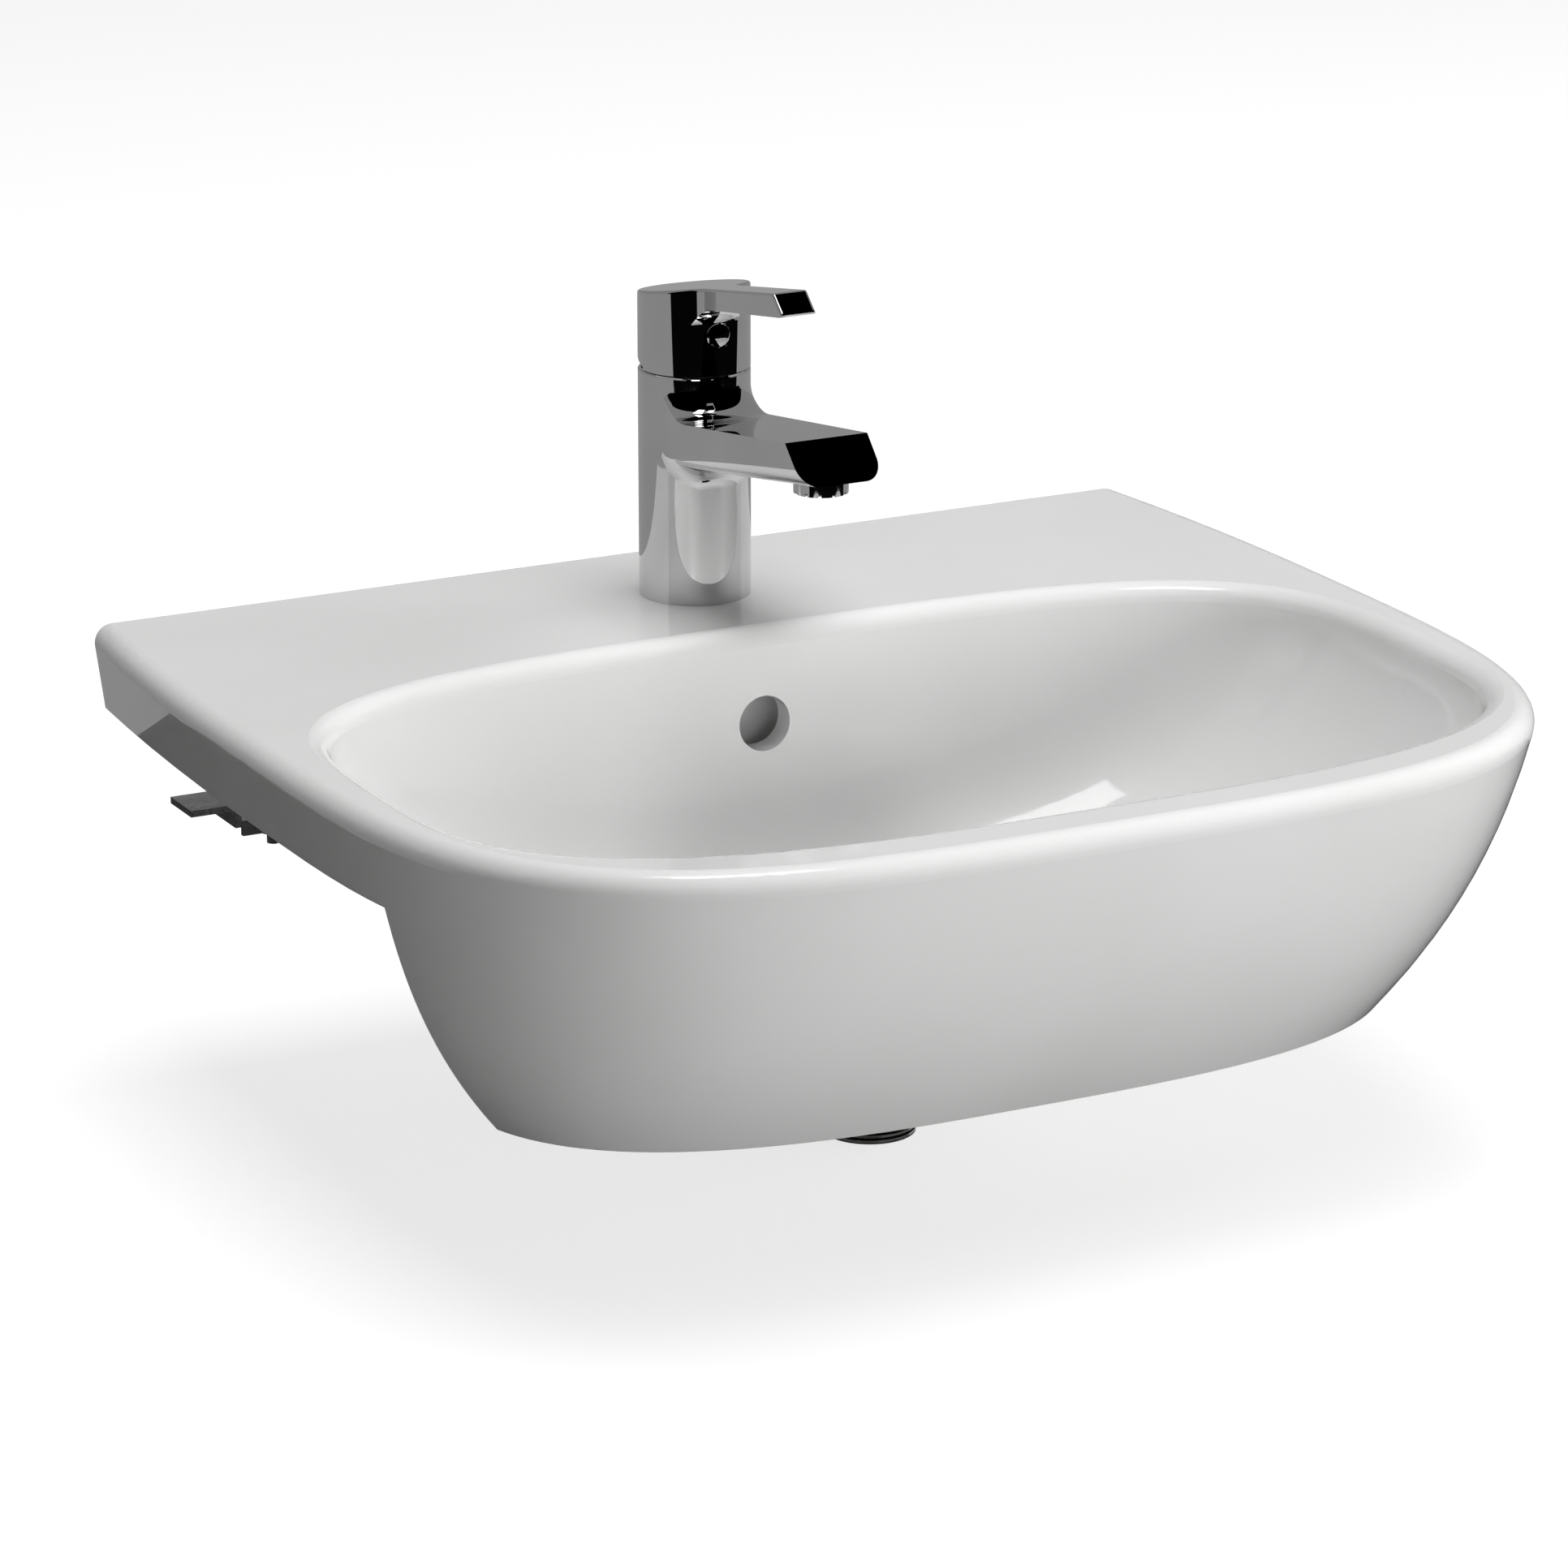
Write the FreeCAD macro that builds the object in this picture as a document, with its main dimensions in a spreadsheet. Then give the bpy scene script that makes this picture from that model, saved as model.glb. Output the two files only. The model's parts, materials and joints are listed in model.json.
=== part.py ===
"""A semi recessed washbasin with its lever mixer, click waste and worktop clamps.

The origin is on the worktop, in the middle of the basin's rear seat strip.
+X is the user's right, the front faces -Y and +Z is up. All sizes are in millimetres.
"""
import FreeCAD, Part
import math
import os
import re

import Sketcher
from FreeCAD import Placement, Rotation, Vector

# ---------------------------------------------------------------- sizes
SIZES = {
    # the ware: its levels, and its plan at the rim, the seat, the waist and the foot
    "rear_edge": 6.0,
    "deck_top": 39.0,
    "deck_thickness": 14.0,
    "ware_wall": 12.0,
    "rim_level": 30.0,
    "waist_level": -50.0,
    "foot_level": -105.0,
    "rim_half_width": 274.6,
    "seat_half_width": 268.2,
    "waist_half_width": 252.3,
    "foot_half_width": 219.5,
    "rim_reach": 467.3,
    "seat_reach": 458.7,
    "waist_reach": 435.0,
    "foot_reach": 396.3,
    "rim_rear_half_width": 263.8,
    "foot_rear_half_width": 245.7,
    "rim_shoulder": 196.0,
    "foot_shoulder": 264.6,
    "rim_fullness": 3.5,
    "foot_fullness": 2.96,
    "side_swell": 2.3,
    "rim_rounding": 8.5,
    "rear_rounding": 2.5,
    "fascia_setback": 318.0,
    # the bowl
    "bowl_half_width": 248.0,
    "bowl_rear": 143.5,
    "bowl_front": 434.0,
    "bowl_depth": 123.5,
    "bowl_wall": 11.0,
    "bowl_rear_fullness": 3.6,
    "bowl_front_fullness": 3.1,
    "bowl_rounding": 8.5,
    # the drain and the overflow
    "drain_setback": 245.0,
    "drain_bore": 23.0,
    "drain_recess": 34.5,
    "drain_margin": 1.5,
    "drain_recess_depth": 2.0,
    "boss_radius": 38.0,
    "boss_depth": 27.5,
    "overflow_radius": 12.7,
    "overflow_level": -5.1,
    "duct_width": 38.0,
    "duct_depth": 12.5,
    "duct_wall": 7.0,
    "duct_height": 8.0,
    "duct_bite": 5.0,
    "duct_floor_bite": 4.0,
    # the mixer's body and spout
    "tap_setback": 74.5,
    "tap_hole": 17.5,
    "body_radius": 25.5,
    "body_height": 105.5,
    "body_bevel": 0.8,
    "mouth_radius": 24.0,
    "mouth_depth": 9.3,
    "thread_radius": 20.5,
    "thread_depth": 7.2,
    "cavity_depth": 31.5,
    "cavity_radius": 17.6,
    "seal_inner": 20.0,
    "seal_outer": 23.0,
    "seal_thickness": 1.9,
    "groove_play": 0.1,
    "spout_width": 43.3,
    "spout_tip_width": 40.0,
    "spout_top": 83.2,
    "spout_bottom": 60.8,
    "spout_tip_top_out": 128.3,
    "spout_tip_top": 101.3,
    "spout_tip_bottom_out": 145.0,
    "spout_tip_bottom": 84.4,
    "spout_lower_rounding": 9.0,
    "neck_rounding": 12.0,
    "spout_bore": 5.0,
    "outlet_port": 4.5,
    "outlet_port_out": 9.0,
    "inlet_radius": 4.5,
    "inlet_depth": 14.0,
    "inlet_spacing": 17.0,
    "inlet_back": 4.0,
    "waterway_radius": 3.6,
    "stud_radius": 4.0,
    "stud_out": 9.5,
    "stud_grip": 12.0,
    "stud_drop": 59.0,
    # the cartridge, stacked up from the floor of the body's cavity
    "slide_gap": 0.05,
    "play": 0.2,
    "base_thickness": 5.0,
    "port_radius": 3.2,
    "port_spread": 7.5,
    "ring_radius": 4.9,
    "ring_depth": 1.8,
    "lower_disc_radius": 15.1,
    "lower_disc_thickness": 3.5,
    "upper_disc_radius": 9.5,
    "upper_disc_thickness": 3.5,
    "film": 0.02,
    "carrier_radius": 9.3,
    "carrier_thickness": 4.3,
    "pocket_radius": 15.3,
    "shoulder_wall": 1.5,
    "neck_outer": 15.2,
    "neck_bore": 11.5,
    "neck_top": 30.0,
    "rotor_flange": 3.2,
    "rotor_top": 38.0,
    "nut_flange": 2.0,
    # the lever, its stem and its pivot
    "joint_gap": 0.75,
    "pivot_rise": 2.0,
    "pivot_radius": 1.5,
    "stem_width": 7.0,
    "stem_depth": 6.4,
    "stem_top": 58.0,
    "slot_front": 9.0,
    "slot_rear": 5.4,
    "pin_reach": 10.6,
    "ball_radius": 3.1,
    "ball_level": 15.4,
    "cap_height": 36.4,
    "cap_slope": 10.0,
    "cap_bore": 21.3,
    "cap_ceiling": 22.9,
    "relief_gap": 0.25,
    "relief_lift": 14.5,
    "lever_width": 17.3,
    "lever_out": 93.6,
    "lever_tip_out": 103.3,
    "lever_tip_bottom": 43.9,
    "lever_root_out": 27.1,
    "lever_root_bottom": 31.7,
    "lever_rounding": 1.3,
    "lever_root_rounding": 8.0,
    "hub_radius": 8.0,
    "hub_bottom": 10.9,
    "socket_gap": 0.05,
    "index_radius": 6.1,
    "index_level": 18.3,
    "index_depth": 3.0,
    "index_rounding": 1.2,
    "grub_radius": 2.5,
    "grub_length": 6.0,
    # the spout's aerator
    "aerator_out": 123.6,
    "aerator_ring": 12.2,
    "aerator_thread": 11.1,
    "aerator_bore": 9.3,
    "aerator_lip": 7.5,
    "aerator_lip_height": 1.2,
    "aerator_bottom": 76.3,
    "aerator_flange": 6.6,
    "aerator_height": 12.6,
    "aerator_seal": 1.5,
    "aerator_notch": 1.4,
    "aerator_notches": 12.0,
    # the fixing below the deck
    "rubber_thickness": 3.0,
    "plate_thickness": 2.5,
    "plate_radius": 24.0,
    "plate_slot": 27.0,
    "plate_slot_edge": 3.0,
    "fixing_nut_radius": 7.5,
    "fixing_nut_height": 12.5,
    # the click waste
    "gasket_thickness": 1.5,
    "gasket_radius": 33.0,
    "waste_flange_radius": 32.5,
    "waste_flange_thickness": 2.5,
    "waste_radius": 20.95,
    "waste_bore": 17.5,
    "waste_length": 71.0,
    "tail_radius": 20.7,
    "tail_length": 27.5,
    "slot_height": 12.0,
    "cone_thickness": 5.0,
    "slip_thickness": 1.5,
    "backnut_height": 9.5,
    "backnut_radius": 29.0,
    "guide_drop": 14.5,
    "guide_height": 16.0,
    "guide_hub": 8.5,
    "guide_wall": 2.0,
    "guide_rib": 3.0,
    "slot_width": 9.0,
    "slot_drop": 23.0,
    "plug_radius": 31.5,
    "plug_thickness": 3.5,
    "plug_dome": 2.2,
    "plug_raise": 9.0,
    "plug_seal_inner": 24.0,
    "plug_seal_outer": 28.5,
    "plug_seal_thickness": 1.6,
    "plug_stem_radius": 4.0,
    "plug_stem_length": 50.0,
    # the clamps that hold the rim down on the worktop
    "clamp_side": 205.0,
    "clamp_back": 62.0,
    "insert_radius": 5.0,
    "insert_depth": 9.0,
    "rod_radius": 3.0,
    "rod_drop": 88.0,
    "worktop_thickness": 30.0,
    "bracket_width": 24.0,
    "bracket_thickness": 3.0,
    "bracket_out": 44.0,
    "bracket_in": 12.0,
    "bracket_bend": 20.0,
    "bracket_step": 8.0,
    "wing_span": 30.0,
    "wing_thickness": 2.5,
    "wing_height": 8.0,
    "wing_hub": 6.0,
}

doc = FreeCAD.newDocument("semi_recessed_basin")
sheet = doc.addObject("Spreadsheet::Sheet", "Sizes")
for row, (alias, size) in enumerate(SIZES.items(), start=1):
    sheet.set(f"A{row}", alias)
    sheet.set(f"B{row}", str(size))
    sheet.setAlias(f"B{row}", alias)
doc.recompute()

TAP_Y = "rear_edge - tap_setback"
DRAIN_Y = "rear_edge - drain_setback"
CAVITY_Z = "deck_top + body_height - cavity_depth"
FLOOR_Z = "rim_level - bowl_depth"
SLAB_Z = "deck_top - deck_thickness"
LEVER_Z = "deck_top + body_height + joint_gap"
PIVOT_Z = "deck_top + body_height + pivot_rise"
PIVOT_RISE = "cavity_depth + pivot_rise"
PIVOT_RISE_LOCAL = "pivot_rise - joint_gap"
RELIEF_RADIUS = "sqrt(mouth_radius ^ 2 + pivot_rise ^ 2) - relief_gap"
DISC_LEVEL = "base_thickness + lower_disc_thickness + film"
CARRIER_LEVEL = "base_thickness + lower_disc_thickness + film + upper_disc_thickness"
LEVER_SLOPE = "((lever_tip_bottom - lever_root_bottom) / (lever_tip_out - lever_root_out))"
LEVER_UNDERSIDE = f"lever_root_bottom - (lever_root_out - hub_radius) * {LEVER_SLOPE}"
pieces = []


# ---------------------------------------------------------------- helpers
def formula(text):
    """The text of a size formula with each size's name pointing at its cell."""
    return re.sub(r"[a-z][a-z_]+", lambda word: "Sizes." + word[0] if word[0] in SIZES else word[0], text)


def number(text):
    """The value of a size formula."""
    return float(sheet.evalExpression(formula(text)))


def bind(thing, path, text):
    """Tie one property to a size formula."""
    if text != "0":
        thing.setExpression(path, formula(text))


def set_down(thing, x="0", y="0", z="0"):
    """Tie a piece's place to size formulas."""
    for axis, text in (("x", x), ("y", y), ("z", z)):
        bind(thing, "Placement.Base." + axis, text)


def new_body(name, x="0", y="0", z="0"):
    """A body of its own, which is one piece of the object."""
    body = doc.addObject("PartDesign::Body", name)
    body.Label = name
    set_down(body, x, y, z)
    pieces.append(body)
    return body


def new_sketch(body, plane, offset="0"):
    """A sketch on one of a body's own planes."""
    support = next(item for item in body.Origin.OriginFeatures if item.Role == plane)
    sketch = body.newObject("Sketcher::SketchObject", body.Name + "_sketch")
    sketch.AttachmentSupport = (support, [""])
    sketch.MapMode = "FlatFace"
    bind(sketch, "AttachmentOffset.Base.z", offset)
    return sketch


def hold_point(sketch, curve, end, x, y):
    """Hold one point of a curve at a place given by two size formulas."""
    for kind, text, axis in (("DistanceX", x, -2), ("DistanceY", y, -1)):
        if text == "0":
            sketch.addConstraint(Sketcher.Constraint("PointOnObject", curve, end, axis))
        else:
            rule = Sketcher.Constraint(kind, -1, 1, curve, end, number(text))
            index = sketch.addConstraint(rule)
            bind(sketch, f"Constraints[{index}]", text)


def draw_outline(sketch, corners):
    """A closed outline of straight lines through corners given as size formulas."""
    first = sketch.GeometryCount
    points = [Vector(number(x), number(y), 0) for x, y in corners]
    for start, end in zip(points, points[1:] + points[:1]):
        sketch.addGeometry(Part.LineSegment(start, end))
    for index in range(len(corners)):
        following = (index + 1) % len(corners)
        sketch.addConstraint(Sketcher.Constraint("Coincident", first + index, 2, first + following, 1))
    for index, (x, y) in enumerate(corners):
        hold_point(sketch, first + index, 1, x, y)


def draw_circle(sketch, radius, x="0", y="0"):
    """A circle with its radius and centre given as size formulas."""
    circle = Part.Circle(Vector(number(x), number(y), 0), Vector(0, 0, 1), number(radius))
    curve = sketch.addGeometry(circle)
    hold_point(sketch, curve, 3, x, y)
    index = sketch.addConstraint(Sketcher.Constraint("Radius", curve, number(radius)))
    bind(sketch, f"Constraints[{index}]", radius)


def add_feature(body, kind, sketch):
    """A feature of a body that works on a sketch."""
    feature = body.newObject("PartDesign::" + kind, body.Name + "_" + kind.lower())
    feature.Profile = sketch
    return feature


def extrude(body, kind, sketch, length="0", sides="One side", back=False):
    """A pad or a pocket; a pocket with no length goes right through."""
    feature = add_feature(body, kind, sketch)
    feature.SideType = sides
    feature.Reversed = back
    if length == "0":
        feature.Type = "ThroughAll"
    bind(feature, "Length", length)
    settle(body, feature, kind == "Pocket")
    return feature


def turn(body, kind, sketch, angle=360.0, axis="V_Axis"):
    """A revolution or a groove about an axis of its sketch."""
    feature = add_feature(body, kind, sketch)
    feature.ReferenceAxis = (sketch, [axis])
    feature.Angle = angle
    settle(body, feature, kind == "Groove")
    return feature


def settle(body, feature, takes_away):
    """Work a feature out, and stop if a cut has cut nothing."""
    before = feature.BaseFeature.Shape.Volume if feature.BaseFeature else 0.0
    doc.recompute()
    if takes_away and not feature.Shape.Volume < before:
        raise ValueError(f"{feature.Name} of {body.Label} cuts nothing")


def turned(name, outline, x="0", y="0", z="0"):
    """A piece turned about its own upright axis, from (radius, height) corners."""
    body = new_body(name, x, y, z)
    sketch = new_sketch(body, "XZ_Plane")
    draw_outline(sketch, outline)
    turn(body, "Revolution", sketch)
    return body


def drill(body, radius, x="0", y="0", depth="0", level="0"):
    """An upright hole that is drilled up from a level, or right through."""
    sketch = new_sketch(body, "XY_Plane", level)
    draw_circle(sketch, radius, x, y)
    sides = "Symmetric" if depth == "0" else "One side"
    return extrude(body, "Pocket", sketch, depth, sides, back=True)


def ring(inner, outer, low, high):
    """The outline of a plain ring, for turned."""
    return [(inner, low), (outer, low), (outer, high), (inner, high)]


def edges_where(shape, test):
    """The names of the edges whose middle and box pass a test."""
    return [f"Edge{index}" for index, edge in enumerate(shape.Edges, start=1) if test(edge)]


def soften(body, kind, size, test):
    """A fillet or a chamfer along the edges of the body so far that pass a test."""
    base = body.Tip
    feature = body.newObject("PartDesign::" + kind, body.Name + "_" + kind.lower())
    feature.Base = (base, edges_where(base.Shape, test))
    feature.Refine = False
    bind(feature, "Radius" if kind == "Fillet" else "Size", size)
    doc.recompute()
    return feature


def near(value, text, slack=0.05):
    """Whether a value matches a size formula."""
    return abs(value - number(text)) < slack


def repeat(body, feature, count):
    """A feature repeated round the body's upright axis."""
    pattern = body.newObject("PartDesign::PolarPattern", body.Name + "_pattern")
    pattern.Originals = [feature]
    pattern.Axis = (body.Origin.OriginFeatures[2], [""])
    pattern.Angle = 360
    bind(pattern, "Occurrences", count)
    body.Tip = pattern
    doc.recompute()


def rectangle(half_width, low, high):
    """The corners of an upright-sided rectangle about the middle plane."""
    return [(f"-({half_width})", low), (half_width, low), (half_width, high), (f"-({half_width})", high)]


def on_both_sides(body, name):
    """One piece that holds a body and its mirror image across the middle plane."""
    mirror = doc.addObject("Part::Mirroring", name + "_mirror")
    mirror.Source = body
    mirror.Normal = Vector(1, 0, 0)
    pair = doc.addObject("Part::Compound", name)
    pair.Label = name
    pair.Links = [body, mirror]
    pieces.remove(body)
    pieces.append(pair)


# ---------------------------------------------------------------- the ware
def through_levels(z, sizes):
    """The smooth curve through a size's values at the foot, waist, seat and rim levels."""
    levels = [number("foot_level"), number("waist_level"), 0.0, number("rim_level")]
    total = 0.0
    for level, size in zip(levels, sizes):
        weight = 1.0
        for other in levels:
            if other != level:
                weight *= (z - other) / (level - other)
        total += weight * number(size)
    return total


def between(z, foot_size, rim_size):
    """A size that changes evenly from the foot to the rim."""
    low = number("foot_level")
    high = number("rim_level")
    share = (z - low) / (high - low)
    return number(foot_size) + share * (number(rim_size) - number(foot_size))


def power_curve(share, power):
    """The pair of coordinates at a share of a quarter of a rounded square."""
    angle = share * math.pi / 2
    return math.sin(angle) ** (2 / power), math.cos(angle) ** (2 / power)


def ware_plan(z, inset):
    """The outline of the ware at one level: a straight rear and a bowed front."""
    half = through_levels(z, [level + "_half_width" for level in ("foot", "waist", "seat", "rim")]) - inset
    reach = through_levels(z, [level + "_reach" for level in ("foot", "waist", "seat", "rim")]) - inset
    rear_half = between(z, "foot_rear_half_width", "rim_rear_half_width") - inset
    shoulder = between(z, "foot_shoulder", "rim_shoulder")
    power = between(z, "foot_fullness", "rim_fullness")
    rear = number("rear_edge")
    side = []
    for step in range(6):
        share = step / 6
        x = half - (half - rear_half) * (1 - share) ** number("side_swell")
        side.append(Vector(x, rear - inset - share * (shoulder - inset), z))
    for step in range(12):
        across, forward = power_curve(1 - step / 12, power)
        side.append(Vector(half * across, rear - shoulder - (reach - shoulder) * forward, z))
    middle = [Vector(0, rear - reach, z)]
    mirrored = [Vector(-point.x, point.y, z) for point in reversed(side)]
    curve = Part.BSplineCurve()
    curve.interpolate(side + middle + mirrored)
    rear_line = Part.LineSegment(mirrored[-1], side[0])
    return Part.Wire([curve.toShape(), rear_line.toShape()])


def bowl_plan(share, grow, z=None):
    """The closed outline of the bowl at a share of its depth, grown by a wall."""
    drain = number("drain_recess + drain_margin") + grow
    drain_rear = number("drain_setback") - drain
    drain_front = number("drain_setback") + drain
    sideways = (1 - share ** 1.35) ** 0.38
    forwards = (1 - share ** 1.8) ** 0.38
    half = drain + (number("bowl_half_width") + grow - drain) * sideways
    rear = number("bowl_rear") - grow
    rear += (drain_rear - rear) * share ** 4
    front = drain_front + (number("bowl_front") + grow - drain_front) * forwards
    if z is None:
        z = number("rim_level") - share * (number("bowl_depth") + grow)
    points = []
    for step in range(48):
        quarter, part = divmod(step, 12)
        in_front = quarter in (0, 3)
        full = number("bowl_front_fullness" if in_front else "bowl_rear_fullness")
        power = full + (2.0 - full) * share ** 2
        across, along = power_curve(part / 12 if quarter in (0, 2) else 1 - part / 12, power)
        x = half * across * (1 if quarter < 2 else -1)
        y = (front - rear) / 2 * along * (-1 if in_front else 1)
        points.append(Vector(x, number("rear_edge") - (front + rear) / 2 + y, z))
    curve = Part.BSplineCurve()
    curve.interpolate(Points=points, PeriodicFlag=True)
    return Part.Wire([curve.toShape()])


def bowl_solid(grow, top):
    """The bowl as a solid: its hollow, or with a wall's growth its outer form."""
    steps = 9
    plans = [bowl_plan(0.0, grow, top)]
    plans += [bowl_plan(math.sin(step * math.pi / 2 / steps), grow) for step in range(steps + 1)]
    return Part.makeLoft(plans, True, False)


def block(width, depth, height, low_y, low_z):
    """A box that is centred on the middle plane."""
    return Part.makeBox(width, depth, height, Vector(-width / 2, low_y, low_z))


def post(radius, x, y, low_z, high_z):
    """An upright cylinder between two levels."""
    return Part.makeCylinder(radius, high_z - low_z, Vector(x, y, low_z))


def rounded(shape, radius, test):
    """A shape with the edges that pass a test rounded over."""
    return shape.makeFillet(number(radius), [edge for edge in shape.Edges if test(edge)])


# how far the cutting solids of the ware run past the faces that they cut
PAST = 1.0
WARE_STEPS = 10


def make_ware():
    """The one fired piece: rim, apron, bowl, drain boss and overflow duct."""
    deck = number("deck_top")
    slab = deck - number("deck_thickness")
    wall = number("ware_wall")
    foot = number("foot_level")
    rear = number("rear_edge")
    fascia = rear - number("fascia_setback")
    drain_y = number(DRAIN_Y)
    floor = number(FLOOR_Z)
    boss_low = floor - number("boss_depth")

    rise = (number("rim_level") - foot) / WARE_STEPS
    levels = [foot + step * rise for step in range(WARE_STEPS + 1)]
    body = Part.makeLoft([ware_plan(z, 0.0) for z in levels + [deck]], True, False)
    body = rounded(body, "rim_rounding", lambda edge: on_deck(edge) and not is_at(edge, rear))
    body = rounded(body, "rear_rounding", lambda edge: on_deck(edge) and is_at(edge, rear))
    body = body.cut(bowl_solid(0.0, deck + PAST))
    body = rounded(body, "bowl_rounding", lambda edge: on_deck(edge) and edge.Closed)

    # the overflow's duct runs down behind the bowl and under its floor to the drain's boss
    duct_wall = number("duct_wall")
    duct_x = number("duct_width")
    duct_y = rear - number("bowl_rear") + number("bowl_wall")
    duct_rear = duct_y + number("duct_depth")
    duct_top = number("overflow_level + overflow_radius + duct_height")
    tunnel_low = boss_low + duct_wall
    duct_outer = block(
        duct_x + 2 * duct_wall,
        duct_rear + duct_wall - drain_y,
        duct_top + duct_wall - boss_low,
        drain_y,
        boss_low,
    )
    # the duct's walls stop inside the bowl's rear wall and floor, clear of the basin's hollow
    duct_start = duct_y - number("duct_bite")
    bowl_side = block(
        duct_x + 3 * duct_wall, duct_start - drain_y, deck - floor, drain_y, floor - number("duct_floor_bite")
    )
    duct_outer = duct_outer.cut(bowl_side)
    duct = block(duct_x, number("duct_depth"), duct_top - tunnel_low, duct_y, tunnel_low)
    tunnel = block(duct_x, duct_rear - drain_y, floor - wall - PAST - tunnel_low, drain_y, tunnel_low)
    boss = post(number("boss_radius"), 0, drain_y, boss_low, floor - PAST)
    outer_bowl = bowl_solid(number("bowl_wall"), (slab + deck) / 2)
    kept = outer_bowl.fuse([boss, duct_outer])

    # behind the apron's ends the underside is open to the sides, where the worktop takes it
    hollow = Part.makeLoft([ware_plan(z, wall) for z in levels[1:-1] + [slab]], True, False)
    width = body.BoundBox.XLength + 2 * PAST
    depth = rear - fascia + PAST
    hollow = hollow.fuse(block(width, depth, PAST - foot, fascia, foot - PAST))
    ware = body.cut(hollow.cut(kept)).fuse([boss, duct_outer])
    overflow = Part.makeCylinder(
        number("overflow_radius"),
        duct_y + PAST - drain_y,
        Vector(0, drain_y, number("overflow_level")),
        Vector(0, 1, 0),
    )
    cuts = [
        duct,
        tunnel,
        overflow,
        post(number("drain_recess"), 0, drain_y, floor - number("drain_recess_depth"), floor + PAST),
        post(number("drain_bore"), 0, drain_y, boss_low - PAST, floor),
        post(number("tap_hole"), 0, number(TAP_Y), slab - PAST, deck + PAST),
    ]
    for side in (-1, 1):
        x = side * number("clamp_side")
        y = rear - number("clamp_back")
        cuts.append(post(number("insert_radius"), x, y, slab - PAST, slab + number("insert_depth")))
    return ware.cut(cuts).removeSplitter()


def on_deck(edge):
    """Whether an edge lies in the plane of the deck's top."""
    deck = number("deck_top")
    return abs(edge.BoundBox.ZMin - deck) < 0.1 and abs(edge.BoundBox.ZMax - deck) < 0.1


def is_at(edge, y):
    """Whether an edge lies in one plane across the object."""
    return abs(edge.BoundBox.YMin - y) < 0.1 and abs(edge.BoundBox.YMax - y) < 0.1


def add_ware():
    """The basin's piece, which reads its sizes from the sheet."""
    piece = doc.addObject("Part::Feature", "basin_shell")
    piece.Label = "basin_shell"
    piece.Shape = make_ware()
    pieces.append(piece)


# ---------------------------------------------------------------- the mixer's body and spout
def outline_face(corners, place):
    """A flat face through corners given as size formulas, each put in space by a function."""
    points = [place(number(first), number(second)) for first, second in corners]
    return Part.Face(Part.makePolygon(points + points[:1]))


def make_mixer_outside():
    """The upright column with its tapered spout and the soft neck between them."""
    profile = [
        ("0", "spout_top"),
        ("-spout_tip_top_out", "spout_tip_top"),
        ("-spout_tip_bottom_out", "spout_tip_bottom"),
        ("0", "spout_bottom"),
    ]
    width = number("spout_width")
    side = outline_face(profile, lambda y, z: Vector(-width / 2, y, z))
    plan = [
        ("-spout_width / 2", "0"),
        ("-spout_tip_width / 2", "-spout_tip_bottom_out"),
        ("spout_tip_width / 2", "-spout_tip_bottom_out"),
        ("spout_width / 2", "0"),
    ]
    wedge = outline_face(plan, lambda x, y: Vector(x, y, 0)).extrude(Vector(0, 0, number("body_height")))
    spout = side.extrude(Vector(width, 0, 0)).common(wedge)
    spout = rounded(spout, "spout_lower_rounding", is_spout_underside)
    top = number("body_height")
    column = post(number("body_radius"), 0, 0, 0, top)
    rim = [edge for edge in column.Edges if edge.BoundBox.ZMin > top - 1]
    column = column.makeChamfer(number("body_bevel"), rim)
    return rounded(column.fuse(spout).removeSplitter(), "neck_rounding", is_neck)


def add_mixer_body():
    """The column and spout with the waterways and the cartridge's cavity."""
    thread_top = number("body_height - mouth_depth")
    thread_low = thread_top - number("thread_depth")
    floor = number("body_height - cavity_depth")
    back = number("inlet_back")
    stud_y = -number("stud_out")
    port_y = -number("outlet_port_out")
    port_z = floor - number("spout_bore")
    aerator_y = -number("aerator_out")
    collar_top = number("aerator_bottom + aerator_flange + slide_gap")
    bore_top = number("aerator_bottom + aerator_height + aerator_seal + groove_play")
    seal_room = number("seal_thickness + groove_play")
    channel_start = Vector(0, -number("spout_bore"), port_z)
    channel = Vector(0, aerator_y, bore_top) - channel_start
    cuts = [
        post(number("cavity_radius"), 0, 0, floor, thread_low + 1),
        post(number("thread_radius"), 0, 0, thread_low, thread_top + 1),
        post(number("mouth_radius"), 0, 0, thread_top, number("body_height") + 1),
        post(number("seal_outer + groove_play"), 0, 0, -1, seal_room).cut(
            post(number("seal_inner - groove_play"), 0, 0, -2, seal_room + 1)
        ),
        post(number("stud_radius + slide_gap"), 0, stud_y, -1, number("stud_grip")),
        post(number("outlet_port"), 0, port_y, port_z, floor + 1),
        post(number("aerator_ring + play"), 0, aerator_y, 0, collar_top),
        post(number("aerator_thread + groove_play"), 0, aerator_y, 0, bore_top),
        Part.makeCylinder(number("spout_bore"), channel.Length, channel_start, channel),
    ]
    for side in (-1, 1):
        x = side * number("inlet_spacing") / 2
        cuts.append(post(number("inlet_radius"), x, back, -1, number("inlet_depth")))
        cuts.append(post(number("waterway_radius"), x, back, number("inlet_depth") - 1, floor + 1))
    piece = doc.addObject("Part::Feature", "mixer_body")
    piece.Label = "mixer_body"
    piece.Shape = make_mixer_outside().cut(cuts)
    set_down(piece, "0", TAP_Y, "deck_top")
    pieces.append(piece)


def is_spout_underside(edge):
    """Whether an edge runs along the spout at its lower side."""
    box = edge.BoundBox
    return box.YLength > 100 and near(box.ZMin, "spout_bottom", 1)


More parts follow.
